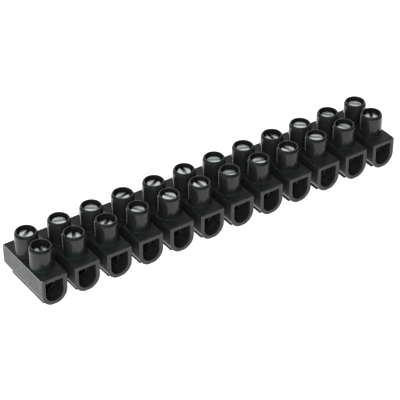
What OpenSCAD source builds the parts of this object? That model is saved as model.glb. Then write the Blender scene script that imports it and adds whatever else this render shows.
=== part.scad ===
// Screw terminal strip: one moulded housing, a brass terminal tube in each pole
// and a slotted clamping screw at each end of every tube.
// X runs along the strip, the front mouths face -Y, Z is up, the base lies at Z = 0.

/* [Strip] */
// Number of poles along the strip
poles = 12; // [2:1:12]
// Distance from one pole to the next
pitch = 10; // [9.4:0.1:14]
// Depth of the strip, from the front mouths to the back mouths
strip_depth = 20; // [18:0.5:28]
// Distance between the front and the back screw of a pole
row_spacing = 7.4; // [7.3:0.1:9]

/* [Blocks] */
// Width of the block around one pole
block_w = 7.6; // [7.4:0.1:8.4]
// Height of a block without its towers
block_h = 8.7; // [8:0.1:10]
// How much of the round underside is cut flat to stand on
base_flat = 0.1; // [0.05:0.05:0.4]
// Wall beside and below the wire tunnel
side_wall = 1.15; // [1:0.05:1.2]
// Wall above the wire tunnel
roof_wall = 1.3; // [0.8:0.05:1.5]
// Rounding of the top edge over the mouths
mouth_edge_r = 0.45; // [0.1:0.05:0.8]
// Rounding of the tunnel's two upper corners
tunnel_corner_r = 0.3; // [0.1:0.05:0.6]

/* [Web] */
// Depth of the web that joins the blocks
web_depth = 6.4; // [5:0.1:9]
// Step from the block tops down to the web
web_step = 3.4; // [1:0.1:5]
// Diameter of the fixing hole between two poles
fixing_d = 3.2; // [2.9:0.1:4]

/* [Towers] */
// Height of a tower above its block
tower_h = 6.5; // [5:0.1:9]
// Outer diameter of a tower at its foot
tower_foot_d = 6.54; // [6.5:0.02:6.6]
// Outer diameter of a tower where its shoulder begins
tower_neck_d = 6.44; // [6.3:0.02:6.5]
// Outer diameter of a tower at its rim, before the edge is rounded
tower_rim_d = 6.14; // [6:0.02:6.3]
// Height of the shoulder that leans in under the rim
shoulder_h = 1.25; // [0.8:0.05:2]
// Rounding of the rim's outer edge
rim_r = 0.3; // [0.1:0.05:0.35]
// Fillet between a tower and its block
foot_fillet_r = 0.3; // [0.1:0.05:0.35]
// Diameter of the opening at the rim
tower_mouth_d = 5; // [4.5:0.1:5.2]
// Depth of the tapered lead-in below the rim
lead_in = 2.2; // [0.5:0.1:4]

/* [Terminal tube] */
// Length of a tube
tube_len = 12; // [11.5:0.5:17]
// Diameter of the wire bore
wire_bore_d = 3.5; // [2.5:0.1:3.8]
// Gap between a tube and its tunnel
tube_gap = 0.05; // [0.02:0.01:0.1]

/* [Screws] */
// Diameter of the thread
thread_d = 3; // [2.5:0.1:3.2]
// Travel of a screw in one turn
thread_pitch = 0.5; // [0.4:0.05:0.6]
// Gap between a thread and the tube
thread_gap = 0.05; // [0.02:0.01:0.1]
// Diameter of a head
head_d = 4; // [3.6:0.1:4.2]
// Height of a head
head_h = 2.2; // [1.6:0.1:2.4]
// Gap between a head and the tower around it
head_gap = 0.15; // [0.05:0.05:0.2]
// Rounding of the head's upper edge
head_edge_r = 0.25; // [0.1:0.05:0.4]
// Width of the driver slot
slot_w = 0.95; // [0.5:0.05:1.1]
// Depth of the driver slot
slot_depth = 0.75; // [0.6:0.05:1.4]
// Chamfer at the tip
tip_chamfer = 0.4; // [0.2:0.05:0.8]
// Gap between the deepest tip and the wire bore
tip_gap = 0.1; // [0.05:0.05:0.4]

/* [Hidden] */
$fn = 64;
// Turns from each rim down to its head, from the first pole to the last
front_turns = [3.1, 2.4, 2.8, 2.1, 1.5, 1.8, 2.3, 2, 1.9, 1.6, 2, 2.2];
back_turns = [1.9, 1.7, 1.9, 2.1, 1.9, 1.6, 1.9, 1.8, 2.3, 1.5, 2, 1.8];
// Direction of each driver slot, in degrees from the strip's length
front_slots = [82, 60, 38, -60, -65, -86, -23, -12, -74, -39, -63, 55];
back_slots = [33, -18, -35, 13, 27, 80, -30, -22, 85, -39, -55, -44];
// How far a cutting shape reaches past the surface that it opens
past = 1;
// Rows of screws: front towards -Y, back towards +Y
FRONT = -1;
BACK = 1;

web_len = (poles - 1) * pitch;
strip_len = web_len + block_w;
axis_z = block_w / 2 - base_flat;
rim_z = block_h + tower_h;
tunnel_w = block_w - 2 * side_wall;
tunnel_top = block_h - roof_wall;
tube_w = tunnel_w - 2 * tube_gap;
tube_top = tunnel_top - tube_gap;
wire_bore_top = axis_z + wire_bore_d / 2;
head_bore_d = head_d + 2 * head_gap;
thread_bore_d = thread_d + 2 * thread_gap;
deepest_head = max(concat(front_turns, back_turns)) * thread_pitch;
screw_len = rim_z - deepest_head - wire_bore_top - tip_gap;

function pole_x(pole) = (pole - (poles + 1) / 2) * pitch;
function row_y(row) = row * row_spacing / 2;
function tower_r(z) = (tower_foot_d + (tower_neck_d - tower_foot_d) * z / (tower_h - shoulder_h)) / 2;
function two_digits(n) = str(n < 10 ? "0" : "", n);
function tube_name(pole) = str("terminal_tube_", two_digits(pole));
function screw_name(row, pole) = str(row == FRONT ? "front" : "back", "_screw_", two_digits(pole));

// Outline of a block seen from its mouth: flat top, upright sides, round underside
module block_outline() {
    intersection() {
        union() {
            translate([0, axis_z]) circle(d = block_w);
            translate([-block_w / 2, axis_z]) square([block_w, block_h - axis_z]);
        }
        translate([-block_w, 0]) square([2 * block_w, block_h]);
    }
}

// Outline of the tunnel or of the tube in it
module tunnel_outline(width, top) {
    flat_w = width - 2 * tunnel_corner_r;
    corner_z = top - tunnel_corner_r;
    translate([0, axis_z]) circle(d = width);
    translate([-width / 2, axis_z]) square([width, corner_z - axis_z]);
    translate([-flat_w / 2, axis_z]) square([flat_w, top - axis_z]);
    for (side = [-1, 1]) translate([side * flat_w / 2, corner_z]) circle(r = tunnel_corner_r);
}

// Stretches an outline along the way the wires run
module along_wire(length) {
    rotate([90, 0, 0]) linear_extrude(height = length, center = true) children();
}

// The strip seen from its end, with the rounded edges over the mouths
module end_outline() {
    flat_d = strip_depth - 2 * mouth_edge_r;
    edge_z = block_h - mouth_edge_r;
    translate([-strip_depth / 2, 0]) square([strip_depth, edge_z]);
    translate([-flat_d / 2, 0]) square([flat_d, block_h]);
    for (side = [-1, 1]) translate([side * flat_d / 2, edge_z]) circle(r = mouth_edge_r);
}

module blocks() {
    intersection() {
        for (pole = [1:poles]) translate([pole_x(pole), 0, 0]) along_wire(strip_depth) block_outline();
        rotate([90, 0, 90]) linear_extrude(height = strip_len + 2 * past, center = true) end_outline();
    }
}

module web() {
    translate([-web_len / 2, -web_depth / 2, 0]) cube([web_len, web_depth, block_h - web_step]);
}

// Half section of a tower, from inside its block up to the rounded rim
module tower_section() {
    root = roof_wall / 2;
    neck = [tower_neck_d / 2, tower_h - shoulder_h];
    edge = [tower_rim_d / 2, tower_h - rim_r];
    fillet_r = tower_r(foot_fillet_r) + foot_fillet_r;
    polygon([[0, -root], [tower_r(0), -root], [tower_r(0), 0], neck, edge, [0, edge[1]]]);
    translate([0, edge[1] - root]) square([edge[0] - rim_r, rim_r + root]);
    translate([edge[0] - rim_r, edge[1]]) circle(r = rim_r);
    difference() {
        translate([0, -root]) square([fillet_r, foot_fillet_r + root]);
        translate([fillet_r, foot_fillet_r]) circle(r = foot_fillet_r);
    }
}

module tower() {
    translate([0, 0, block_h]) rotate_extrude() intersection() {
        tower_section();
        translate([0, -block_h]) square([tower_foot_d, rim_z]);
    }
}

// Space for a screw head, widened at the rim to lead the screwdriver in
module tower_bore() {
    translate([0, 0, axis_z]) cylinder(d = head_bore_d, h = rim_z - axis_z + past);
    lead_slope = (tower_mouth_d - head_bore_d) / lead_in;
    translate([0, 0, rim_z - lead_in])
        cylinder(d1 = head_bore_d, d2 = tower_mouth_d + lead_slope * past, h = lead_in + past);
}

module housing() {
    color("#1c1d1f") difference() {
        union() {
            blocks();
            web();
            for (pole = [1:poles]) for (row = [FRONT, BACK])
                translate([pole_x(pole), row_y(row), 0]) tower();
        }
        for (pole = [1:poles]) translate([pole_x(pole), 0, 0]) {
            along_wire(strip_depth + 2 * past) tunnel_outline(tunnel_w, tunnel_top);
            for (row = [FRONT, BACK]) translate([0, row_y(row), 0]) tower_bore();
        }
        for (gap = [1:poles - 1]) translate([pole_x(gap) + pitch / 2, 0, -past])
            cylinder(d = fixing_d, h = block_h + 2 * past);
    }
}

module terminal_tube(pole) {
    color("#b5934f") translate([pole_x(pole), 0, 0]) difference() {
        along_wire(tube_len) tunnel_outline(tube_w, tube_top);
        translate([0, 0, axis_z]) rotate([90, 0, 0]) cylinder(d = wire_bore_d, h = tube_len + past, center = true);
        for (row = [FRONT, BACK]) translate([0, row_y(row), axis_z])
            cylinder(d = thread_bore_d, h = tube_top - axis_z + past);
    }
}

// Half section of a screw, with its tip at zero
module screw_section() {
    shank = screw_len - head_h;
    edge_z = screw_len - head_edge_r;
    core_r = head_d / 2 - head_edge_r;
    polygon([[0, 0], [thread_d / 2 - tip_chamfer, 0], [thread_d / 2, tip_chamfer], [thread_d / 2, shank], [0, shank]]);
    translate([0, shank]) square([head_d / 2, head_h - head_edge_r]);
    translate([0, shank]) square([core_r, head_h]);
    translate([core_r, edge_z]) circle(r = head_edge_r);
}

module clamp_screw(row, pole) {
    turns = row == FRONT ? front_turns[pole - 1] : back_turns[pole - 1];
    slot_turn = row == FRONT ? front_slots[pole - 1] : back_slots[pole - 1];
    tip_z = rim_z - turns * thread_pitch - screw_len;
    color("#c9ccd0") translate([pole_x(pole), row_y(row), tip_z]) difference() {
        rotate_extrude() screw_section();
        rotate([0, 0, slot_turn]) translate([-head_d, -slot_w / 2, screw_len - slot_depth])
            cube([2 * head_d, slot_w, slot_depth + past]);
    }
}

housing();
for (pole = [1:poles]) {
    terminal_tube(pole);
    clamp_screw(FRONT, pole);
    clamp_screw(BACK, pole);
}
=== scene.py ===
# %% [markdown]
# # A screw terminal strip
#
# This strip joins wires in a distribution box. One black nylon moulding holds a brass
# tube in each of its twelve poles, and two slotted screws clamp a wire in each tube.
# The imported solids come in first, as a fixed frame that says where every piece sits
# and how it moves. The lesson then models the pieces again with the small roundings,
# threads and finishes that a close look at the real strip shows.

# %% Load the frame
import math

import bpy
from mathutils import Matrix, Vector


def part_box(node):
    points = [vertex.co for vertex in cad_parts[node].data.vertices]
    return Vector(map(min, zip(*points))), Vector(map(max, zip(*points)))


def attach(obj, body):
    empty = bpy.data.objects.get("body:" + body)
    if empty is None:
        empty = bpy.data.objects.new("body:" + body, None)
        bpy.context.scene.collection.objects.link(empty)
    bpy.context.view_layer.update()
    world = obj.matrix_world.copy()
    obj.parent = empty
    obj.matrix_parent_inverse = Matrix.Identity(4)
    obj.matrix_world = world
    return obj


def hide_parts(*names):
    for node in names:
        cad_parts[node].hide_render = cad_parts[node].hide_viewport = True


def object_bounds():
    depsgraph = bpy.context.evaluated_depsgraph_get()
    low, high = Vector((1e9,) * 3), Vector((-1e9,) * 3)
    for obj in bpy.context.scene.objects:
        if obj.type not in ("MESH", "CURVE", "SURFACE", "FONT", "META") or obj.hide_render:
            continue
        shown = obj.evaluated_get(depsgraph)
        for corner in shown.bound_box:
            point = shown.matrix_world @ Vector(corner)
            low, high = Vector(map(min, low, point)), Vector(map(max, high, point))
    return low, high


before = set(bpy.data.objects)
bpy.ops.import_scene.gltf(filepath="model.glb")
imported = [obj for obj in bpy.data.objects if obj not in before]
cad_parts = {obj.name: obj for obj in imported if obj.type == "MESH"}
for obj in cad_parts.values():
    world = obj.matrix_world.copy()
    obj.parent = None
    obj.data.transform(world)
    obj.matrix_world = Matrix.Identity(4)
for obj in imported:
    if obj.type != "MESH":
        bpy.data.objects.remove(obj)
cad_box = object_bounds()
print("nodes:", len(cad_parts), "size in m:", [round(v, 4) for v in cad_box[1] - cad_box[0]])

# %% [markdown]
# ## The camera
#
# A long lens far away keeps the row of poles nearly parallel, as a product photo does.
# The camera could be placed by eye, but the tower rims give good marks to fit it to,
# so its turn, tilt and distance are set as numbers. It aims at the middle of the
# tower tops and is then moved a little sideways and down to frame the strip.

# %% Place the camera
MM = 0.001
TURN, TILT, ROLL = math.radians(-35.25), math.radians(54.12), math.radians(0.42)
DISTANCE, ASIDE, LOWER = 486.7 * MM, 1.88 * MM, 8.48 * MM
LENS, SENSOR_W, CLIP_START = 160.38, 36, 0.01

look = Matrix.Rotation(TURN, 4, "Z") @ Matrix.Rotation(TILT, 4, "X") @ Matrix.Rotation(ROLL, 4, "Z")
stand = Matrix.Translation((-ASIDE, -LOWER, DISTANCE))
bpy.ops.object.select_all(action="DESELECT")
bpy.ops.object.camera_add()
camera = bpy.context.object
camera.name = "photo_camera"
camera.data.lens = LENS
camera.data.sensor_width = SENSOR_W
camera.data.clip_start = CLIP_START
camera.matrix_world = Matrix.Translation((0, 0, cad_box[1].z)) @ look @ stand
bpy.context.scene.camera = camera
print("camera at", [round(v, 4) for v in camera.matrix_world.translation])

# %% [markdown]
# ## Sums in a material
#
# A finish often depends on where a point lies: under a block, on a rim or in a bore. A
# picture could be painted for that, but sums on the coordinates follow the shape
# exactly. These helpers add the sums as nodes. A mask is a sum that is one in a place
# and zero elsewhere.

# %% Helpers for sums
def math_step(tree, way, first, second=0, third=None):
    """Adds a calculation on sockets or plain numbers."""
    node = tree.nodes.new("ShaderNodeMath")
    node.operation = way
    for socket, value in zip(node.inputs, (first, second, third)):
        if isinstance(value, (int, float)):
            socket.default_value = value
        elif value is not None:
            tree.links.new(value, socket)
    return node.outputs[0]


def size_of(tree, value):
    """Drops the sign of a value."""
    return math_step(tree, "ABSOLUTE", value)


def over(tree, value, limit):
    """Is one where a value lies over a limit."""
    return math_step(tree, "GREATER_THAN", value, limit)


def under(tree, value, limit):
    """Is one where a value lies under a limit."""
    return math_step(tree, "LESS_THAN", value, limit)


def both(tree, first, second):
    """Is one where two masks are one."""
    return math_step(tree, "MULTIPLY", first, second)


def map_range(tree, value, start, end, low, high):
    """Maps one range of a value onto another, and stops at its ends."""
    node = tree.nodes.new("ShaderNodeMapRange")
    for name, number in (("From Min", start), ("From Max", end), ("To Min", low), ("To Max", high)):
        node.inputs[name].default_value = number
    tree.links.new(value, node.inputs["Value"])
    return node.outputs["Result"]


def fade(tree, value, start, end):
    """Goes from zero to one between two places."""
    return map_range(tree, value, start, end, 0, 1)


# %% Helpers for materials and places
POLES, PITCH = 12, 10.0


def material(name):
    """Starts a node material and gives its tree and its main shader."""
    made = bpy.data.materials.new(name)
    made.use_nodes = True
    return made, made.node_tree, made.node_tree.nodes["Principled BSDF"]


def place_on(tree):
    """Gives the coordinates of a point on the piece."""
    return tree.nodes.new("ShaderNodeTexCoord").outputs["Object"]


def axes_of(tree, vector):
    """Splits coordinates into x, y and z."""
    node = tree.nodes.new("ShaderNodeSeparateXYZ")
    tree.links.new(vector, node.inputs[0])
    return node.outputs["X"], node.outputs["Y"], node.outputs["Z"]


def from_pole(tree, x):
    """Gives how far a point lies beside the middle of the nearest pole."""
    half = PITCH * MM / 2
    return math_step(tree, "WRAP", math_step(tree, "ADD", x, half), half, -half)


# %% [markdown]
# ## The studio
#
# The strip stands on a white table under soft light. The table is a wide plane with a
# white matt finish, so it still takes the strip's shadow. It glows for what the camera
# and the reflections see, which makes the page white without more light on the strip.
# Under each block the table's colour is painted dark and it has no glow: a painted
# contact shadow, for the thin dark line where the blocks stand. A plain shadow would be
# lost in a table that is this bright.

# %% White table
TABLE_SIDE = 0.34

bpy.ops.object.select_all(action="DESELECT")
bpy.ops.mesh.primitive_plane_add(size=TABLE_SIDE, location=(0, 0, 0))
table = bpy.context.object
table.name = "white_table"
print("table side in m:", TABLE_SIDE)

# %% Table finish
SHADE_HALF_W, SHADE_HALF_DEPTH = 2.6 * MM, 8.2 * MM
PAINTED_SHADE_GREY, OPEN_WHITE, TABLE_ROUGHNESS = 0.08, 0.86, 0.9
CAMERA_GLOW, MIRROR_GLOW = 0.78, 0.9


def seen_glow(tree, for_camera, for_mirror):
    """Glows for the camera and in reflections, and throws no light on things."""
    rays = tree.nodes.new("ShaderNodeLightPath").outputs
    direct = math_step(tree, "MAXIMUM", rays["Is Camera Ray"], rays["Is Transmission Ray"])
    seen = math_step(tree, "MULTIPLY", direct, for_camera)
    mirrored = math_step(tree, "MULTIPLY", rays["Is Glossy Ray"], for_mirror)
    return math_step(tree, "MAXIMUM", seen, mirrored)


table_white, tree, shader = material("table_white")
x, y, _ = axes_of(tree, place_on(tree))
beside = over(tree, size_of(tree, from_pole(tree, x)), SHADE_HALF_W)
before = over(tree, size_of(tree, y), SHADE_HALF_DEPTH)
past = over(tree, size_of(tree, x), POLES * PITCH * MM / 2)
open_table = math_step(tree, "MAXIMUM", math_step(tree, "MAXIMUM", beside, before), past)
# Painted contact shadow: under the blocks the colour drops to a dark grey and the glow is off.
white = math_step(tree, "MULTIPLY_ADD", open_table, OPEN_WHITE - PAINTED_SHADE_GREY, PAINTED_SHADE_GREY)
glow = math_step(tree, "MULTIPLY", seen_glow(tree, CAMERA_GLOW, MIRROR_GLOW), open_table)
tree.links.new(white, shader.inputs["Base Color"])
tree.links.new(glow, shader.inputs["Emission Strength"])
shader.inputs["Emission Color"].default_value = (1, 1, 1, 1)
shader.inputs["Roughness"].default_value = TABLE_ROUGHNESS
shader.inputs["Specular IOR Level"].default_value = 0
table.data.materials.append(table_white)
print("table white:", OPEN_WHITE, "and under the blocks:", PAINTED_SHADE_GREY)

# %% [markdown]
# ## The room
#
# A black gloss part is seen mostly by what it mirrors, so the room matters more than
# the lamps. One even colour would make every face the same grey. The room is therefore
# dark round the sides and lighter overhead, with a pale backdrop behind the table that
# the screw heads mirror, and the towers get dark bands and light edges. The camera
# itself sees plain white.

# %% Room levels
ROOM_HEIGHTS = (0.0, 0.35, 0.66, 0.88, 1.0)
ROOM_GREYS = (0.03, 0.06, 0.10, 0.45, 0.7)

world = bpy.data.worlds.new("studio")
world.use_nodes = True
bpy.context.scene.world = world
tree = world.node_tree
direction = tree.nodes.new("ShaderNodeTexCoord").outputs["Generated"]
_, _, steepness = axes_of(tree, direction)
heights = tree.nodes.new("ShaderNodeValToRGB")
tree.links.new(steepness, heights.inputs[0])
stops = heights.color_ramp.elements
for height in ROOM_HEIGHTS[1:-1]:
    stops.new(height)
for stop, grey in zip(stops, ROOM_GREYS):
    stop.color = (grey, grey, grey, 1)
print("room levels:", [(round(stop.position, 2), round(stop.color[0], 2)) for stop in stops])

# %% Backdrop and white page
BACKDROP_START, BACKDROP_FULL, ROOM_STRENGTH = 0.3, 0.6, 0.72

ahead = tree.nodes.new("ShaderNodeVectorMath")
ahead.operation = "DOT_PRODUCT"
ahead.inputs[1].default_value = (math.sin(-TURN), math.cos(TURN), 0)
tree.links.new(direction, ahead.inputs[0])
backdrop = fade(tree, ahead.outputs["Value"], BACKDROP_START, BACKDROP_FULL)
room = tree.nodes["Background"]
tree.links.new(math_step(tree, "MAXIMUM", heights.outputs["Color"], backdrop), room.inputs["Color"])
room.inputs["Strength"].default_value = ROOM_STRENGTH
white_page = tree.nodes.new("ShaderNodeBackground")
white_page.inputs["Color"].default_value = (1, 1, 1, 1)
choose = tree.nodes.new("ShaderNodeMixShader")
rays = tree.nodes.new("ShaderNodeLightPath").outputs
tree.links.new(rays["Is Camera Ray"], choose.inputs[0])
tree.links.new(room.outputs[0], choose.inputs[1])
tree.links.new(white_page.outputs[0], choose.inputs[2])
tree.links.new(choose.outputs[0], tree.nodes["World Output"].inputs["Surface"])
bpy.context.scene.view_settings.view_transform = "Standard"
print("backdrop towards", [round(v, 2) for v in ahead.inputs[1].default_value])

# %% [markdown]
# ## The lamps
#
# A softbox on the left lights the end of the strip, and a fill by the camera lifts the
# front faces. Their mirror images would put spots on the dark shoulders and in the
# bores, so both are hidden from gloss and give only plain light.

# %% Lamps
def soft_lamp(name, place, size, watts):
    """Adds a square soft lamp that faces the strip and doesn't show in its gloss."""
    bpy.ops.object.select_all(action="DESELECT")
    bpy.ops.object.light_add(type="AREA", location=place)
    lamp = bpy.context.object
    lamp.name = name
    lamp.data.size = size
    lamp.data.energy = watts
    lamp.rotation_euler = (-Vector(place)).to_track_quat("-Z", "Y").to_euler()
    lamp.visible_glossy = False
    print(name, "at", place)


soft_lamp("front_fill", place=(-0.42, -0.66, 0.56), size=0.5, watts=7)
soft_lamp("left_softbox", place=(-0.85, -0.05, 0.25), size=0.45, watts=5.5)

# %% [markdown]
# ## Working by hand in code
#
# The pieces are small, so they are modelled with one Blender unit as one millimetre
# and scaled down at the end. Operators act on whatever is selected, so a few helpers do
# the clicking: one picks an object alone, another picks its faces or edges by place.

# %% Helpers for picking
NEAR = 0.01


def only(piece):
    """Selects one object alone, as the one that operators act on."""
    bpy.ops.object.select_all(action="DESELECT")
    piece.select_set(True)
    bpy.context.view_layer.objects.active = piece


def pick(piece, kind, test):
    """Opens edit mode with only the faces or edges picked that pass a test of their place."""
    only(piece)
    bpy.ops.object.mode_set(mode="EDIT")
    bpy.ops.mesh.select_mode(type=kind)
    bpy.ops.mesh.select_all(action="DESELECT")
    bpy.ops.object.mode_set(mode="OBJECT")
    mesh = piece.data
    if kind == "FACE":
        for face in mesh.polygons:
            face.select = test(face.center, face.normal)
    else:
        for edge in mesh.edges:
            edge.select = test(*(mesh.vertices[v].co for v in edge.vertices))
    bpy.ops.object.mode_set(mode="EDIT")


def whole(piece):
    """Opens edit mode with the whole mesh picked."""
    only(piece)
    bpy.ops.object.mode_set(mode="EDIT")
    bpy.ops.mesh.select_mode(type="VERT")
    bpy.ops.mesh.select_all(action="SELECT")


def done():
    """Leaves edit mode."""
    bpy.ops.object.mode_set(mode="OBJECT")


def faces_up(centre, normal):
    """Tells a face that looks straight up."""
    return normal.z > 1 - NEAR


# %% Helpers for modifiers and edges
def apply_step(piece, kind, **settings):
    """Adds a modifier with its settings and applies it."""
    only(piece)
    step = piece.modifiers.new(kind.lower(), kind)
    for name, value in settings.items():
        setattr(step, name, value)
    bpy.ops.object.modifier_apply(modifier=step.name)


def combine(piece, tool, way):
    """Joins, cuts or keeps the overlap with another solid, which is then used up."""
    apply_step(piece, "BOOLEAN", operation=way, solver="EXACT", object=tool)
    bpy.data.objects.remove(tool, do_unlink=True)


def row_of(piece, count, step):
    """Repeats a solid in a row, from where it lies."""
    apply_step(piece, "ARRAY", count=count, use_relative_offset=False,
               use_constant_offset=True, constant_offset_displace=step)


def soften(piece, size, segments, sharper_than):
    """Rounds every edge that is sharper than an angle."""
    apply_step(piece, "BEVEL", width=size, segments=segments, limit_method="ANGLE",
               angle_limit=math.radians(sharper_than), use_clamp_overlap=False)


def round_edges(piece, size, segments, test):
    """Rounds the edges whose two ends pass a test."""
    pick(piece, "EDGE", test)
    bpy.ops.mesh.bevel(offset=size, segments=segments, affect="EDGES", clamp_overlap=False)
    done()


# %% Helpers for boxes and moves
def box(name, low, high):
    """Makes a box between two corners."""
    bpy.ops.object.select_all(action="DESELECT")
    bpy.ops.mesh.primitive_cube_add(size=1)
    made = bpy.context.object
    made.name = name
    low, high = Vector(low), Vector(high)
    bpy.ops.transform.resize(value=high - low)
    bpy.ops.transform.translate(value=(low + high) / 2)
    bpy.ops.object.transform_apply(location=True, rotation=True, scale=True)
    return made


def shift(piece, by):
    """Moves the mesh itself, so that the object stays at the origin."""
    only(piece)
    bpy.ops.transform.translate(value=by)
    bpy.ops.object.transform_apply(location=True, rotation=True, scale=True)


# %% [markdown]
# ## Turned shapes
#
# Towers, bores and screws are round. Each could start as a cylinder, but their sides
# carry tapers, lips and roundings, so a half section is drawn as a chain of points and
# spun about the upright axis, as on a lathe. Merging the doubled points closes the
# seam and the poles, and the normals are then turned outwards.

# %% Helpers for turning
SEAM = 0.0005


def arc(x, z, radius, start, end, count, up=None):
    """Points on an arc, in degrees from the x direction, or on an ellipse with its own rise."""
    turns = [math.radians(start + (end - start) * i / count) for i in range(count + 1)]
    return [(x + radius * math.cos(t), z + (up or radius) * math.sin(t)) for t in turns]


def single_point(name, x, z):
    """Makes a mesh of one point, which is left picked in edit mode."""
    bpy.ops.object.select_all(action="DESELECT")
    bpy.ops.mesh.primitive_plane_add(size=1, location=(0, 0, 0))
    piece = bpy.context.object
    piece.name = name
    whole(piece)
    bpy.ops.mesh.merge(type="CENTER")
    bpy.ops.transform.translate(value=(x, 0, z))
    return piece


def turned(name, section, steps):
    """Spins a half section about the z axis into a closed solid."""
    piece = single_point(name, *section[0])
    for (x, z), (next_x, next_z) in zip(section, section[1:]):
        bpy.ops.mesh.extrude_vertices_move(TRANSFORM_OT_translate={"value": (next_x - x, 0, next_z - z)})
    bpy.ops.mesh.select_all(action="SELECT")
    bpy.ops.mesh.spin(steps=steps, angle=2 * math.pi, center=(0, 0, 0), axis=(0, 0, 1))
    bpy.ops.mesh.select_all(action="SELECT")
    bpy.ops.mesh.remove_doubles(threshold=SEAM)
    bpy.ops.mesh.normals_make_consistent(inside=False)
    done()
    return piece


# %% [markdown]
# ## One block of the housing
#
# A block is a short D-shaped tunnel: a flat top, upright sides and a round underside.
# It starts as a lying cylinder. The upper half is cut off, the cut face is pulled up to
# the block's height, and the lowest sliver is cut flat to stand on. The edges over the
# two mouths are well rounded on the real one, and all other edges only a little.

# %% D-shaped bars
AXIS_Z, BAR_POINTS, FLAT_UNDER = 3.7, 64, math.radians(1)


def d_bar(name, width, top, depth):
    """Makes a D-shaped bar along y: a half round underside with upright sides above it."""
    bpy.ops.object.select_all(action="DESELECT")
    bpy.ops.mesh.primitive_cylinder_add(vertices=BAR_POINTS, radius=width / 2, depth=depth,
                                        location=(0, 0, AXIS_Z), rotation=(math.pi / 2, 0, 0))
    bar = bpy.context.object
    bar.name = name
    bpy.ops.object.transform_apply(location=True, rotation=True, scale=True)
    whole(bar)
    bpy.ops.mesh.bisect(plane_co=(0, 0, AXIS_Z), plane_no=(0, 0, 1), use_fill=True, clear_outer=True)
    done()
    pick(bar, "FACE", faces_up)
    bpy.ops.mesh.extrude_region_move(TRANSFORM_OT_translate={"value": (0, 0, top - AXIS_Z)})
    bpy.ops.mesh.select_all(action="SELECT")
    bpy.ops.mesh.dissolve_limited(angle_limit=FLAT_UNDER)
    bpy.ops.mesh.normals_make_consistent(inside=False)
    done()
    return bar


# %% Block
BLOCK_W, BLOCK_H, BLOCK_DEPTH = 7.6, 8.7, 20.0
MOUTH_EDGE, SOFT_EDGE = 0.45, 0.11

housing = d_bar("nylon_housing", BLOCK_W, BLOCK_H, BLOCK_DEPTH)
whole(housing)
bpy.ops.mesh.bisect(plane_co=(0, 0, 0), plane_no=(0, 0, 1), use_fill=True, clear_inner=True)
done()
round_edges(housing, size=MOUTH_EDGE, segments=6,
            test=lambda a, b: min(a.z, b.z) > BLOCK_H - NEAR and abs(a.y - b.y) < NEAR)
soften(housing, size=SOFT_EDGE, segments=3, sharper_than=35)
print("block faces:", len(housing.data.polygons))

# %% [markdown]
# ## The screw towers
#
# Two round towers stand on each block. Moulded towers taper a little so that they
# leave the tool, flow into the block at the foot, and lean in under a rounded rim. One
# round would be too short to show the dark band under the rim, so two arcs are joined by
# a short straight lean. The foot is sunk a hair into the block, because two faces that
# only touch make a poor joint.

# %% Towers on a block
RIM_Z, ROW_SPACING, TURNED_STEPS = 15.2, 7.4, 72
FOOT_R, NECK_R, LAND_R = 3.27, 3.22, 2.594
SHOULDER, SHOULDER_ROUND, RIM_ROUND, LEAN = 0.9, 0.8, 0.4, 30
FOOT_FILLET, SUNK = 0.4, 0.004
ROOT_DEPTH, ROOT_STEP = 0.6, 0.1

root = [(0, BLOCK_H - ROOT_DEPTH), (FOOT_R + ROOT_STEP, BLOCK_H - ROOT_DEPTH)]
foot = arc(FOOT_R + FOOT_FILLET, BLOCK_H + FOOT_FILLET - SUNK, FOOT_FILLET,
           start=268, end=180, count=6)
shoulder = arc(NECK_R - SHOULDER_ROUND, RIM_Z - SHOULDER, SHOULDER_ROUND,
               start=0, end=LEAN, count=6)
rim = arc(LAND_R, RIM_Z - RIM_ROUND, RIM_ROUND, start=LEAN, end=90, count=8)
tower = turned("tower", root + foot + shoulder + rim + [(0, RIM_Z)], TURNED_STEPS)
shift(tower, (0, -ROW_SPACING / 2, 0))
row_of(tower, 2, (0, ROW_SPACING, 0))
combine(housing, tower, "UNION")
print("faces with towers:", len(housing.data.polygons))

# %% [markdown]
# ## The row and its webs
#
# An Array copies the finished block twelve times at the pole pitch. The blocks hang
# together by webs. One long bar through all the blocks is simpler than eleven small
# ones, and the tunnels cut later open it again inside each block.

# %% Row of blocks on a bar
FIRST_X = -(POLES - 1) * PITCH / 2
WEB_DEPTH, WEB_LOW, WEB_TOP, WEB_EDGE = 6.4, 0.01, 5.3, 0.2

shift(housing, (FIRST_X, 0, 0))
row_of(housing, POLES, (PITCH, 0, 0))
bar = box("web", (FIRST_X, -WEB_DEPTH / 2, WEB_LOW), (-FIRST_X, WEB_DEPTH / 2, WEB_TOP))
round_edges(bar, size=WEB_EDGE, segments=3,
            test=lambda a, b: abs(a.y - b.y) < NEAR and abs(a.z - b.z) < NEAR)
combine(housing, bar, "UNION")
print("faces with webs:", len(housing.data.polygons))

# %% [markdown]
# ## Tunnels, fixing holes and bores
#
# The openings are cut with solid tools, one for each kind, repeated along the row. Each
# tool is flared where it leaves the moulding, so the cut edge comes out slightly broken,
# as moulded edges are. The bores widen towards the rim to lead a screwdriver in.

# %% Wire tunnels
TUNNEL_W, TUNNEL_TOP, TUNNEL_CORNER = 5.3, 7.4, 0.3
FLARE, FLARE_DEPTH = 0.3, 0.12


def round_top(bar, top):
    """Rounds the two long upper edges of a D-shaped bar."""
    round_edges(bar, size=TUNNEL_CORNER, segments=5,
                test=lambda a, b: min(a.z, b.z) > top - NEAR and abs(a.x - b.x) < NEAR)


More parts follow.
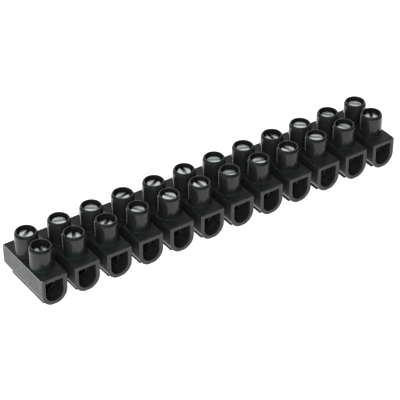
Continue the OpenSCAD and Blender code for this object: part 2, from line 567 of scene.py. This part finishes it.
tunnel = d_bar("tunnel", TUNNEL_W, TUNNEL_TOP, BLOCK_DEPTH - 2 * FLARE_DEPTH)
round_top(tunnel, TUNNEL_TOP)
tunnel_low = AXIS_Z - TUNNEL_W / 2
tunnel_middle = (0, 0, (TUNNEL_TOP + tunnel_low) / 2)
wider, taller = 1 + 2 * FLARE / TUNNEL_W, 1 + 2 * FLARE / (TUNNEL_TOP - tunnel_low)
for side in (-1, 1):
    pick(tunnel, "FACE", lambda centre, normal: normal.y * side > 1 - NEAR)
    bpy.ops.mesh.extrude_region_move(TRANSFORM_OT_translate={"value": (0, side * FLARE, 0)})
    bpy.ops.transform.resize(value=(wider, 1, taller), center_override=tunnel_middle)
    done()
shift(tunnel, (FIRST_X, 0, 0))
row_of(tunnel, POLES, (PITCH, 0, 0))
combine(housing, tunnel, "DIFFERENCE")
print("faces with tunnels:", len(housing.data.polygons))

# %% Fixing holes
FIXING_R, FIXING_PAST, FIXING_STEPS = 1.6, 1, 48

wide_r, half_flare = FIXING_R + FLARE, FLARE / 2
hole_low = [(0, -FIXING_PAST), (wide_r, -FIXING_PAST), (wide_r, WEB_LOW - half_flare),
            (FIXING_R, WEB_LOW + half_flare)]
hole_high = [(FIXING_R, WEB_TOP - half_flare), (wide_r, WEB_TOP + half_flare),
             (wide_r, WEB_TOP + FIXING_PAST), (0, WEB_TOP + FIXING_PAST)]
hole = turned("fixing_hole", hole_low + hole_high, FIXING_STEPS)
shift(hole, (FIRST_X + PITCH / 2, 0, 0))
row_of(hole, POLES - 1, (PITCH, 0, 0))
combine(housing, hole, "DIFFERENCE")
print("faces with fixing holes:", len(housing.data.polygons))

# %% Screw bores
BORE_R, LEAD_R, LEAD_IN, BORE_PAST = 2.15, 2.5, 2.2, 0.6
LIP, LIP_RISE, LIP_Z = 0.08, 0.1, RIM_Z - 0.09

mouth_r = LEAD_R + LIP
bore_low = [(0, AXIS_Z + BORE_PAST), (BORE_R, AXIS_Z + BORE_PAST), (BORE_R, RIM_Z - LEAD_IN)]
bore_lip = arc(mouth_r, LIP_Z, LIP, start=170, end=90, count=4, up=LIP_RISE)
bore_top = [(mouth_r, RIM_Z + BORE_PAST), (0, RIM_Z + BORE_PAST)]
bore = turned("bore", bore_low + bore_lip + bore_top, TURNED_STEPS)
shift(bore, (FIRST_X, -ROW_SPACING / 2, 0))
row_of(bore, POLES, (PITCH, 0, 0))
row_of(bore, 2, (0, ROW_SPACING, 0))
combine(housing, bore, "DIFFERENCE")
print("faces with bores:", len(housing.data.polygons))

# %% [markdown]
# ## Closing a mesh
#
# A solid that is made by cutting should have no open edges left. This check picks the
# open edges, as the Select Non Manifold command does, and counts them. The finished
# piece is then scaled to metres and smoothed: edges flatter than 32 degrees
# are blended, and weighted normals keep the large faces flat.

# %% Check and finish a solid
DOUBLED, SMOOTH_UNDER = 0.0008, 32


def open_edges(piece):
    """Counts the edges that don't have exactly two faces."""
    only(piece)
    bpy.ops.object.mode_set(mode="EDIT")
    bpy.ops.mesh.select_mode(type="EDGE")
    bpy.ops.mesh.select_all(action="DESELECT")
    bpy.ops.mesh.select_non_manifold()
    done()
    return sum(edge.select for edge in piece.data.edges)


def finish_solid(piece):
    """Merges doubled points, scales the mesh to metres and smooths its shading."""
    whole(piece)
    bpy.ops.mesh.remove_doubles(threshold=DOUBLED)
    bpy.ops.mesh.dissolve_degenerate(threshold=DOUBLED)
    done()
    print(piece.name, "open edges:", open_edges(piece), "faces:", len(piece.data.polygons))
    only(piece)
    bpy.ops.transform.resize(value=(MM, MM, MM), center_override=(0, 0, 0))
    bpy.ops.object.transform_apply(location=True, rotation=True, scale=True)
    bpy.ops.object.shade_smooth_by_angle(angle=math.radians(SMOOTH_UNDER))
    apply_step(piece, "WEIGHTED_NORMAL", mode="FACE_AREA", weight=50, keep_sharp=True)


finish_solid(housing)

# %% [markdown]
# ## The brass tubes
#
# A tube is a length of drawn D-shaped brass with a wire bore along it and two threaded
# holes from above. It is made as the block was, with its own sizes. The ends of the
# wire bore and the threaded holes have a broken edge, as deburred holes do.

# %% Drawn bar
TUBE_W, TUBE_TOP, TUBE_LEN, TUBE_EDGE = 5.2, 7.35, 12.0, 0.08

tube = d_bar("brass_tube", TUBE_W, TUBE_TOP, TUBE_LEN)
round_top(tube, TUBE_TOP)
soften(tube, size=TUBE_EDGE, segments=2, sharper_than=40)
print("bar faces:", len(tube.data.polygons))

# %% Wire bore and threaded holes
WIRE_R, WIRE_SINK, WIRE_PAST, WIRE_STEPS = 1.75, 0.07, 1, 64
THREAD_HOLE_R, THREAD_SINK, THREAD_PAST, THREAD_STEPS = 1.55, 0.15, 0.25, 48
THREAD_LOW = AXIS_Z + 0.3

half, cone_r = TUBE_LEN / 2, WIRE_R + WIRE_SINK + WIRE_PAST
sink_r = THREAD_HOLE_R + THREAD_SINK + THREAD_PAST
drill_low = [(0, -half - WIRE_PAST), (cone_r, -half - WIRE_PAST), (WIRE_R, -half + WIRE_SINK)]
drill_high = [(WIRE_R, half - WIRE_SINK), (cone_r, half + WIRE_PAST), (0, half + WIRE_PAST)]
drill = turned("wire_drill", drill_low + drill_high, WIRE_STEPS)
drill.rotation_euler.x = math.pi / 2
shift(drill, (0, 0, AXIS_Z))
combine(tube, drill, "DIFFERENCE")
tap_low = [(0, THREAD_LOW), (THREAD_HOLE_R, THREAD_LOW), (THREAD_HOLE_R, TUBE_TOP - THREAD_SINK)]
tap_high = [(sink_r, TUBE_TOP + THREAD_PAST), (0, TUBE_TOP + THREAD_PAST)]
tap = turned("tap_drill", tap_low + tap_high, THREAD_STEPS)
shift(tap, (0, -ROW_SPACING / 2, 0))
row_of(tap, 2, (0, ROW_SPACING, 0))
combine(tube, tap, "DIFFERENCE")
finish_solid(tube)

# %% [markdown]
# ## The clamping screws
#
# The screws have a plain round head with a driver slot and an M3 thread. The thread is
# a real helix: one V of the profile goes once round and climbs by its pitch in a Screw
# modifier. Both ends are cut level and filled, and an overlap with a chamfered bar
# gives the tip its taper.

# %% Thread
SCREW_LEN, HEAD_R, HEAD_H = 8.1, 2.0, 2.2
THREAD_R, ROOT_R, THREAD_PITCH = 1.5, 1.2, 0.5
FLANK, CREST, GROOVE = 0.2, 0.06, 0.04
HELIX_TURNS, HELIX_STEPS, HELIX_SEAM = 16, 40, 0.001
SHANK = SCREW_LEN - HEAD_H
HELIX_START, HELIX_LOW, HELIX_TOP = -2 * THREAD_PITCH, -0.03, SHANK + 0.4

screw = single_point("zinc_screw", ROOT_R, HELIX_START)
thread_h = THREAD_R - ROOT_R
for across, up in ((thread_h, FLANK), (0, CREST), (-thread_h, FLANK), (0, GROOVE)):
    bpy.ops.mesh.extrude_vertices_move(TRANSFORM_OT_translate={"value": (across, 0, up)})
done()
apply_step(screw, "SCREW", axis="Z", angle=2 * math.pi, screw_offset=THREAD_PITCH,
           steps=HELIX_STEPS, render_steps=HELIX_STEPS, iterations=HELIX_TURNS,
           use_merge_vertices=True, merge_threshold=HELIX_SEAM, use_normal_calculate=True)
whole(screw)
bpy.ops.mesh.remove_doubles(threshold=HELIX_SEAM)
bpy.ops.mesh.bisect(plane_co=(0, 0, HELIX_LOW), plane_no=(0, 0, 1), use_fill=True, clear_inner=True)
bpy.ops.mesh.select_all(action="SELECT")
bpy.ops.mesh.bisect(plane_co=(0, 0, HELIX_TOP), plane_no=(0, 0, 1), use_fill=True, clear_outer=True)
bpy.ops.mesh.select_all(action="SELECT")
bpy.ops.mesh.normals_make_consistent(inside=False)
done()
print("helix faces:", len(screw.data.polygons))

# %% Tip
TIP_CHAMFER, TIP_PAST, INTO_HEAD = 0.4, 0.3, 0.2

tip_low = [(0, 0), (THREAD_R - TIP_CHAMFER, 0), (THREAD_R + TIP_PAST, TIP_CHAMFER + TIP_PAST)]
tip_high = [(THREAD_R + TIP_PAST, SHANK + INTO_HEAD), (0, SHANK + INTO_HEAD)]
tip = turned("tip", tip_low + tip_high, HELIX_STEPS)
combine(screw, tip, "INTERSECT")
print("thread faces:", len(screw.data.polygons), "open edges:", open_edges(screw))

# %% Head and slot
HEAD_EDGE, HEAD_CHAMFER, HEAD_STEPS = 0.28, 0.12, 64
SLOT_W, SLOT_DEPTH, SLOT_BREAK = 0.95, 0.75, 0.06
BLADE_REACH, BLADE_RISE = 1.5 * HEAD_R, 0.2

head_low = [(0, SHANK), (HEAD_R - HEAD_CHAMFER, SHANK), (HEAD_R, SHANK + HEAD_CHAMFER)]
crown = arc(HEAD_R - HEAD_EDGE, SCREW_LEN - HEAD_EDGE, HEAD_EDGE, start=0, end=90, count=6)
head = turned("head", head_low + crown + [(0, SCREW_LEN)], HEAD_STEPS)
combine(screw, head, "UNION")
blade = box("blade", (-BLADE_REACH, -SLOT_W / 2, SCREW_LEN - SLOT_DEPTH),
            (BLADE_REACH, SLOT_W / 2, SCREW_LEN - SLOT_BREAK))
pick(blade, "FACE", faces_up)
bpy.ops.mesh.extrude_region_move(TRANSFORM_OT_translate={"value": (0, 0, BLADE_RISE)})
bpy.ops.transform.resize(value=(1, 1 + 2 * BLADE_RISE / SLOT_W, 1), center_override=(0, 0, SCREW_LEN))
done()
combine(screw, blade, "DIFFERENCE")
print("screw faces:", len(screw.data.polygons))

# %% [markdown]
# ## Turning marks need a centre
#
# The marks of the lathe run round each screw's own axis. Object coordinates can't give
# that centre once the screw stands in its tower, so the first screw gets a map of its
# plan, in millimetres from the axis, and every copy takes the map along.

# %% Plan map of the screw
plan = screw.data.uv_layers.new(name="plan")
for loop in screw.data.loops:
    point = screw.data.vertices[loop.vertex_index].co
    plan.data[loop.index].uv = (point.x, point.y)
finish_solid(screw)

# %% [markdown]
# ## Patterns
#
# No real surface has one flat colour. A noise varies each colour and each roughness
# between two ends, and lifts a fine grain as a bump. The middle of a noise is stretched
# over the whole range, because its extremes are rare and would never show.

# %% Helpers for patterns
NOISE_LOW, NOISE_HIGH = 0.3, 0.7


def noise(tree, vector, scale, detail):
    """Adds a noise pattern on some coordinates."""
    node = tree.nodes.new("ShaderNodeTexNoise")
    node.inputs["Scale"].default_value = scale
    node.inputs["Detail"].default_value = detail
    tree.links.new(vector, node.inputs["Vector"])
    return node.outputs["Fac"]


def spread(tree, pattern, low, high):
    """Maps the middle of a noise onto a range."""
    return map_range(tree, pattern, NOISE_LOW, NOISE_HIGH, low, high)


def tint(tree, pattern, dark, light):
    """Varies a colour from dark to light by a noise."""
    node = tree.nodes.new("ShaderNodeValToRGB")
    node.color_ramp.elements[0].color = (*dark, 1)
    node.color_ramp.elements[1].color = (*light, 1)
    tree.links.new(spread(tree, pattern, 0, 1), node.inputs[0])
    return node.outputs["Color"]


def relief(tree, shader, pattern, depth, strength):
    """Lifts a pattern as a bump."""
    node = tree.nodes.new("ShaderNodeBump")
    node.inputs["Strength"].default_value = strength
    node.inputs["Distance"].default_value = depth
    tree.links.new(pattern, node.inputs["Height"])
    tree.links.new(node.outputs["Normal"], shader.inputs["Normal"])


def lay_over(tree, kind, mask, lower, upper):
    """Lays one colour or number over another where a mask is one."""
    node = tree.nodes.new("ShaderNodeMix")
    node.data_type = kind
    sockets = [socket for socket in node.inputs if socket.enabled]
    for source, socket in zip((mask, lower, upper), sockets):
        tree.links.new(source, socket)
    return [socket for socket in node.outputs if socket.enabled][0]


# %% [markdown]
# ## Black nylon
#
# The housing is black nylon straight from the mould, and a mould has more than one
# finish. The towers and the round undersides come from turned, polished cavities. The
# blocks are finely textured, and the bores are dull and coloured darker as painted shade.
# The faces round the mouths and at the two ends are etched and look grey, partly through a
# painted sheen in their colour, and a lighter band along the top of each end is a painted
# highlight. The rims are lighter, partly worn by screwdrivers and partly a painted highlight.
# Each could be a material of its own, but then the mesh would have to be cut at every
# border. One material that asks where a point lies keeps the moulding whole: first
# come the masks, and then each finish is laid over the ones before it.

# %% Masks on the moulding
TOWERS_OVER, RIM_OVER = 9.0 * MM, 15.13 * MM
MOUTH_PAST, END_PAST, END_UNDER, END_HIGHLIGHT_OVER = 9.86 * MM, 58.3 * MM, 8.69 * MM, 8.38 * MM
BELLY_START, BELLY_FULL, OUTER_WALL_R = 2.9 * MM, 2.1 * MM, 3.4 * MM
BORE_WALL_R, BORE_OVER, BORE_UNDER = 2.53 * MM, 7.42 * MM, 15.11 * MM


def distance(tree, first, second):
    """Gives the distance from an axis by the two steps away from it."""
    square = math_step(tree, "MULTIPLY_ADD", second, second, math_step(tree, "MULTIPLY", first, first))
    return math_step(tree, "SQRT", square)


nylon, tree, shader = material("black_nylon")
place = place_on(tree)
x, y, z = axes_of(tree, place)
along = from_pole(tree, x)
from_wire = distance(tree, along, math_step(tree, "SUBTRACT", z, AXIS_Z * MM))
from_row = math_step(tree, "SUBTRACT", size_of(tree, y), ROW_SPACING * MM / 2)
from_screw = distance(tree, along, from_row)
on_block = under(tree, z, TOWERS_OVER)
# The rims are lighter in colour: partly screwdriver wear and partly a painted highlight.
rim_wear_and_highlight = over(tree, z, RIM_OVER)
belly = both(tree, over(tree, from_wire, OUTER_WALL_R), fade(tree, z, BELLY_START, BELLY_FULL))
bore_height = both(tree, over(tree, z, BORE_OVER), under(tree, z, BORE_UNDER))
# The bore walls are dull, and their colour is darkened as painted shade in the deep bores.
dull_shaded_bore = both(tree, under(tree, from_screw, BORE_WALL_R), bore_height)
# The faces round the mouths and at the ends are etched, and their lighter grey is partly painted sheen.
mouth_etch_and_sheen = over(tree, size_of(tree, y), MOUTH_PAST)
end_face = both(tree, over(tree, size_of(tree, x), END_PAST), under(tree, z, END_UNDER))
end = both(tree, end_face, math_step(tree, "SUBTRACT", 1, belly))
# Painted highlight: a lighter band along the top of each end face.
end_edge_highlight = both(tree, end, over(tree, z, END_HIGHLIGHT_OVER))
print("nodes for the masks:", len(tree.nodes))

# %% Nylon colours
clouds = noise(tree, place, scale=350, detail=4)
smudges = noise(tree, place, scale=750, detail=5)
specks = noise(tree, place, scale=1900, detail=3)

colour = tint(tree, clouds, (0.0115, 0.0126, 0.0122), (0.0195, 0.0210, 0.0205))
nylon_colours = (
    (rim_wear_and_highlight, specks, (0.028, 0.0284, 0.029), (0.06, 0.061, 0.062)),
    (on_block, specks, (0.0065, 0.0075, 0.0072), (0.0245, 0.0268, 0.0260)),
    (dull_shaded_bore, specks, (0.005, 0.0052, 0.0054), (0.010, 0.0103, 0.0107)),
    (mouth_etch_and_sheen, specks, (0.026, 0.0265, 0.0272), (0.058, 0.059, 0.060)),
    (end, smudges, (0.044, 0.046, 0.0455), (0.100, 0.104, 0.103)),
    (end_edge_highlight, specks, (0.14, 0.144, 0.143), (0.20, 0.205, 0.204)),
)
for mask, pattern, dark, light in nylon_colours:
    colour = lay_over(tree, "RGBA", mask, colour, tint(tree, pattern, dark, light))
tree.links.new(colour, shader.inputs["Base Color"])
print("nylon colours over the tower black:", len(nylon_colours))

# %% Nylon gloss and grain
GLOSS_LEVEL, COARSE, GRAIN_DEPTH, GRAIN_STRENGTH = 0.3, 2.5, 0.02 * MM, 0.35

roughness = spread(tree, clouds, 0.15, 0.23)
nylon_finishes = (
    (on_block, specks, 0.44, 0.56),
    (belly, clouds, 0.06, 0.10),
    (dull_shaded_bore, specks, 0.40, 0.46),
    (mouth_etch_and_sheen, specks, 0.42, 0.58),
    (end, specks, 0.42, 0.58),
)
for mask, pattern, low, high in nylon_finishes:
    roughness = lay_over(tree, "FLOAT", mask, roughness, spread(tree, pattern, low, high))
tree.links.new(roughness, shader.inputs["Roughness"])
shader.inputs["Specular IOR Level"].default_value = GLOSS_LEVEL
grain = noise(tree, place, scale=4200, detail=3)
coarse_grain = math_step(tree, "MULTIPLY_ADD", specks, COARSE, grain)
relief(tree, shader, lay_over(tree, "FLOAT", on_block, grain, coarse_grain), GRAIN_DEPTH, GRAIN_STRENGTH)
print("nylon finishes over the polish:", len(nylon_finishes))

# %% [markdown]
# ## Bright zinc
#
# The screws are steel with a bright zinc plating, a little cooler than plain steel. The
# marks of the lathe run in rings, so a noise of the distance from the axis, taken from
# the plan map, is lifted as a very low bump. A second noise makes the plating uneven.

# %% Zinc material
RING_SCALE, RING_DETAIL, RING_DEPTH, RING_STRENGTH = 9, 2, 0.01 * MM, 0.2

zinc, tree, shader = material("bright_zinc")
plan_map = tree.nodes.new("ShaderNodeUVMap")
plan_map.uv_map = "plan"
radius = tree.nodes.new("ShaderNodeVectorMath")
radius.operation = "LENGTH"
tree.links.new(plan_map.outputs["UV"], radius.inputs[0])
rings = tree.nodes.new("ShaderNodeTexNoise")
rings.noise_dimensions = "1D"
rings.inputs["Scale"].default_value = RING_SCALE
rings.inputs["Detail"].default_value = RING_DETAIL
tree.links.new(radius.outputs["Value"], rings.inputs["W"])
relief(tree, shader, rings.outputs["Fac"], RING_DEPTH, RING_STRENGTH)
plating = noise(tree, place_on(tree), scale=1500, detail=3)
colour = tint(tree, plating, (0.82, 0.855, 0.852), (0.90, 0.93, 0.927))
tree.links.new(colour, shader.inputs["Base Color"])
tree.links.new(spread(tree, plating, 0.27, 0.35), shader.inputs["Roughness"])
shader.inputs["Metallic"].default_value = 1
print("zinc nodes:", len(tree.nodes))

# %% [markdown]
# ## Dull brass with painted shade
# The tubes are drawn brass that has dulled in the air, and its colour is painted much
# darker still as painted shade, because the tubes lie deep in the dark mouths. Drawing
# leaves fine lines along the tube, so the noise of the bump is stretched along y. The sawn
# ends deep in the mouths are duller and greyer, and are told apart by how far out they lie.

# %% Brass material
SAWN_PAST, STRETCH_Y, LINE_DEPTH, LINE_STRENGTH = 5.94 * MM, 0.03, 0.02 * MM, 0.3

brass, tree, shader = material("dull_shaded_brass")
place = place_on(tree)
_, y, _ = axes_of(tree, place)
stretch = tree.nodes.new("ShaderNodeMapping")
stretch.inputs["Scale"].default_value = (1, STRETCH_Y, 1)
tree.links.new(place, stretch.inputs["Vector"])
drawn_lines = noise(tree, stretch.outputs["Vector"], scale=5000, detail=2)
relief(tree, shader, drawn_lines, LINE_DEPTH, LINE_STRENGTH)
tarnish = noise(tree, place, scale=700, detail=4)
# Both browns are far darker than brass: painted shade for tubes deep in the dark mouths, over the
# tarnish that the noise varies.
drawn = tint(tree, tarnish, (0.13, 0.098, 0.048), (0.20, 0.152, 0.075))
sawn = tint(tree, tarnish, (0.16, 0.145, 0.112), (0.26, 0.236, 0.182))
sawn_end = over(tree, size_of(tree, y), SAWN_PAST)
tree.links.new(lay_over(tree, "RGBA", sawn_end, drawn, sawn), shader.inputs["Base Color"])
tree.links.new(spread(tree, tarnish, 0.38, 0.55), shader.inputs["Roughness"])
shader.inputs["Metallic"].default_value = 1
print("brass nodes:", len(tree.nodes))

# %% [markdown]
# ## Into their places
#
# The housing stands in its place already. The tube and the screw are copied, each copy
# with its own mesh, and moved to where the frame has that piece. Each screw keeps the
# depth that the frame gives it, and its slot points its own way.

# %% Dress the housing and the tubes
def dress(piece, finish, body, node):
    """Gives a piece its material, hangs it on the body it rides on and hides the imported part that it
    replaces.
    """
    piece.data.materials.clear()
    piece.data.materials.append(finish)
    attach(piece, body)
    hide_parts(node)


def copy_of(piece, name, place, turn=0.0):
    """Copies a piece with its own mesh, turned about its axis and moved to its place."""
    only(piece)
    bpy.ops.object.duplicate(linked=False)
    twin = bpy.context.object
    twin.name = name
    twin.rotation_euler.z = math.radians(turn)
    twin.location = place
    bpy.ops.object.transform_apply(location=True, rotation=True, scale=True)
    return twin


dress(housing, nylon, "strip", "housing")
for pole in range(POLES):
    node = f"terminal_tube_{pole + 1:02d}"
    twin = copy_of(tube, f"brass_tube_{pole + 1:02d}", ((FIRST_X + pole * PITCH) * MM, 0, 0))
    dress(twin, brass, "strip", node)
bpy.data.objects.remove(tube, do_unlink=True)
print("tubes in place:", POLES)

# %% Dress the screws
SLOT_TURNS = {
    "front": (82, 60, 38, -60, -65, -86, -23, -12, -74, -39, -63, 55),
    "back": (33, -18, -35, 13, 27, 80, -30, -22, 85, -39, -55, -44),
}
for row, turns in SLOT_TURNS.items():
    for pole, turn in enumerate(turns):
        node = f"{row}_screw_{pole + 1:02d}"
        low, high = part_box(node)
        spot = ((low[0] + high[0]) / 2, (low[1] + high[1]) / 2, high[2] - SCREW_LEN * MM)
        dress(copy_of(screw, f"zinc_{node}", spot, turn), zinc, node, node)
bpy.data.objects.remove(screw, do_unlink=True)
print("screws in place:", sum(len(turns) for turns in SLOT_TURNS.values()))
